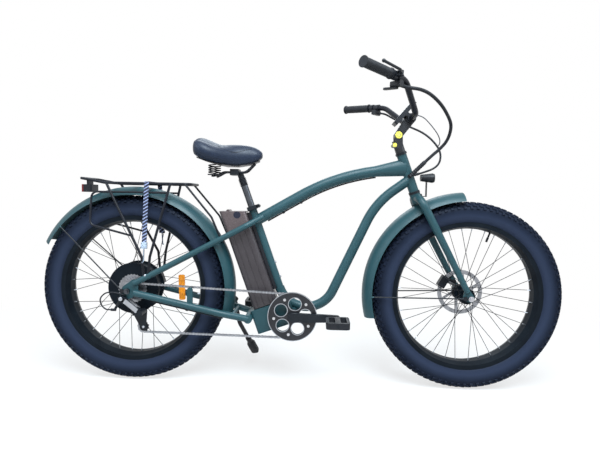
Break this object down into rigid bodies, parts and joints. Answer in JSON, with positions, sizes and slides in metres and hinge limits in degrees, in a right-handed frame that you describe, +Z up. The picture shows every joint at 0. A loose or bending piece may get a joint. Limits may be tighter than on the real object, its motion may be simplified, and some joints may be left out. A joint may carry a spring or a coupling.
{
  "type": "electric fat tyre cruiser bicycle",
  "caption": "Electric fat-tyre cruiser bicycle with curved step-over frame, swept bars, seat-tube battery, rear hub motor, rack, fenders, disc brakes and kickstand.",
  "frame": {"origin": "on the ground at the middle of the wheelbase, in the centre plane", "axes": "+X forward, +Y to the rider's left, +Z up"},
  "size_m": [2.038, 0.7894, 1.1704],
  "materials": {
    "frame_paint": "matte grey-green paint",
    "black_paint": "satin black paint",
    "bare_steel": "brushed",
    "bright_chrome": "polished",
    "black_alloy": "black anodised",
    "silver_alloy": "satin",
    "tread_rubber": "moulded tread",
    "black_rubber": "matte",
    "black_plastic": "fine grain",
    "battery_case": "dark grey-brown, satin",
    "amber": "prismatic",
    "red_lens": "clear red",
    "cushion": "grained vinyl",
    "webbing": "diagonal striped weave"
  },
  "bodies": {
    "frame": {"head_tube": "frame_paint", "top_tube": "frame_paint", "down_tube": "frame_paint", "seat_tube": "frame_paint", "seat_stays": "frame_paint", "chain_stays": "frame_paint", "controller_case": "black_paint", "frame_bearings": "black_alloy", "seat_collar": "black_alloy", "battery_rail": "black_paint", "rear_axle": "bare_steel", "rear_fender": "frame_paint", "rear_rack": "black_paint", "tail_light": "red_lens", "luggage_strap": "webbing", "rear_caliper": "black_alloy", "frame_cables": "black_rubber", "chain": "bright_chrome", "derailleur_body": "silver_alloy"},
    "steering": {"fork": "frame_paint", "front_fender": "frame_paint", "headlight": "black_plastic", "stem": "black_paint", "handlebar": "black_paint", "grips": "black_rubber", "bar_controls": "black_plastic", "front_caliper": "black_alloy", "steering_cables": "black_rubber"},
    "front_wheel": {"front_tyre": "tread_rubber", "front_rim": "black_alloy", "front_hub": "black_alloy", "front_spokes": "bare_steel", "front_rotor": "bare_steel"},
    "rear_wheel": {"rear_tyre": "tread_rubber", "rear_rim": "black_alloy", "hub_motor": "black_paint", "rear_spokes": "bare_steel", "rear_rotor": "bare_steel", "spoke_reflector": "amber"},
    "cassette_cogs": {"cassette": "bare_steel"},
    "cranks": {"chainring": "black_paint", "crank_arms": "black_alloy"},
    "pedal_right": {"right_pedal": "black_alloy"},
    "pedal_left": {"left_pedal": "black_alloy"},
    "link": {"derailleur_link": "silver_alloy"},
    "cage": {"derailleur_cage": "silver_alloy"},
    "pulley_guide": {"guide_pulley": "black_plastic"},
    "pulley_tension": {"tension_pulley": "black_plastic"},
    "kickstand": {"kickstand_leg": "black_paint"},
    "battery": {"battery_pack": "battery_case"},
    "post": {"seat_post": "black_alloy"},
    "saddle": {"seat_post_head": "black_alloy", "seat_post_boot": "black_rubber", "saddle_frame": "bright_chrome", "saddle_springs": "bare_steel", "saddle_cover": "cushion"},
    "release_lever": {"seat_quick_release": "black_alloy"},
    "lever_right": {"right_brake_lever": "black_alloy"},
    "lever_left": {"left_brake_lever": "black_alloy"},
    "paddle": {"shift_paddle": "black_plastic"}
  },
  "joints": [
    {"name": "steering_turn", "type": "hinge", "parent": "frame", "child": "steering", "pos_m": [0.59957, 0, 0.34613], "axis": [-0.3486, 0, 0.9373], "range_deg": [-55, 55], "deforming": ["steering_cables"]},
    {"name": "front_wheel_spin", "type": "hinge", "parent": "steering", "child": "front_wheel", "pos_m": [0.653, 0, 0.366], "axis": [0, 1, 0], "continuous": true},
    {"name": "rear_wheel_spin", "type": "hinge", "parent": "frame", "child": "rear_wheel", "pos_m": [-0.653, 0, 0.366], "axis": [0, 1, 0], "continuous": true},
    {"name": "crank_spin", "type": "hinge", "parent": "frame", "child": "cranks", "pos_m": [-0.02, 0, 0.28], "axis": [0, 1, 0], "continuous": true},
    {"name": "right_pedal_spin", "type": "hinge", "parent": "cranks", "child": "pedal_right", "pos_m": [0.15, 0, 0.28], "axis": [0, 1, 0], "continuous": true},
    {"name": "left_pedal_spin", "type": "hinge", "parent": "cranks", "child": "pedal_left", "pos_m": [-0.19, 0, 0.28], "axis": [0, 1, 0], "continuous": true},
    {"name": "cassette_spin", "type": "hinge", "parent": "frame", "child": "cassette_cogs", "pos_m": [-0.653, 0, 0.366], "axis": [0, 1, 0], "continuous": true},
    {"name": "derailleur_swing", "type": "hinge", "parent": "frame", "child": "link", "pos_m": [-0.65773, -0.1, 0.32846], "axis": [0.5299, 0, 0.848], "range_deg": [0, 26], "deforming": ["chain"]},
    {"name": "cage_swing", "type": "hinge", "parent": "link", "child": "cage", "pos_m": [-0.60816, -0.1135, 0.29748], "axis": [0.5299, 0, 0.848], "range_deg": [-26, 0], "deforming": ["chain"]},
    {"name": "guide_pulley_spin", "type": "hinge", "parent": "cage", "child": "pulley_guide", "pos_m": [-0.629, -0.07, 0.282], "axis": [0, 1, 0], "continuous": true},
    {"name": "tension_pulley_spin", "type": "hinge", "parent": "cage", "child": "pulley_tension", "pos_m": [-0.597, -0.07, 0.224], "axis": [0, 1, 0], "continuous": true},
    {"name": "kickstand_fold", "type": "hinge", "parent": "frame", "child": "kickstand", "pos_m": [-0.27392, 0.10405, 0.30146], "axis": [0.2948, 0.7516, 0.5901], "range_deg": [0, 95]},
    {"name": "battery_slide", "type": "slide", "parent": "frame", "child": "battery", "axis": [-0.342, 0, 0.9397], "range_m": [0, 0.06]},
    {"name": "post_height", "type": "slide", "parent": "frame", "child": "post", "axis": [-0.342, 0, 0.9397], "range_m": [-0.04, 0.08]},
    {"name": "saddle_travel", "type": "slide", "parent": "post", "child": "saddle", "axis": [-0.342, 0, 0.9397], "range_m": [-0.02, 0], "stiffness_N_per_m": 30000, "springref_m": 0.004, "deforming": ["seat_post_boot"]},
    {"name": "release_swing", "type": "hinge", "parent": "frame", "child": "release_lever", "pos_m": [-0.16434, -0.024, 0.69996], "axis": [-0.342, 0, 0.9397], "range_deg": [0, 160]},
    {"name": "right_brake_pull", "type": "hinge", "parent": "steering", "child": "lever_right", "pos_m": [0.32599, -0.29198, 1.13999], "axis": [-0.0587, -0.0541, -0.9968], "range_deg": [0, 12], "stiffness_Nm_per_rad": 2, "springref_deg": -8.59},
    {"name": "left_brake_pull", "type": "hinge", "parent": "steering", "child": "lever_left", "pos_m": [0.32599, 0.29198, 1.13999], "axis": [0.0587, -0.0541, 0.9968], "range_deg": [0, 12], "stiffness_Nm_per_rad": 2, "springref_deg": -8.59},
    {"name": "shift_push", "type": "hinge", "parent": "steering", "child": "paddle", "pos_m": [0.31935, -0.24911, 1.10395], "axis": [-0.0587, -0.0541, -0.9968], "range_deg": [0, 25], "stiffness_Nm_per_rad": 0.4, "springref_deg": -8.59}
  ],
  "couplings": [
    {"joint": "cassette_spin", "follows": "crank_spin", "ratio": 3},
    {"joint": "guide_pulley_spin", "follows": "crank_spin", "ratio": -4.2},
    {"joint": "tension_pulley_spin", "follows": "crank_spin", "ratio": 4.2},
    {"joint": "cage_swing", "follows": "derailleur_swing", "ratio": -1}
  ]
}
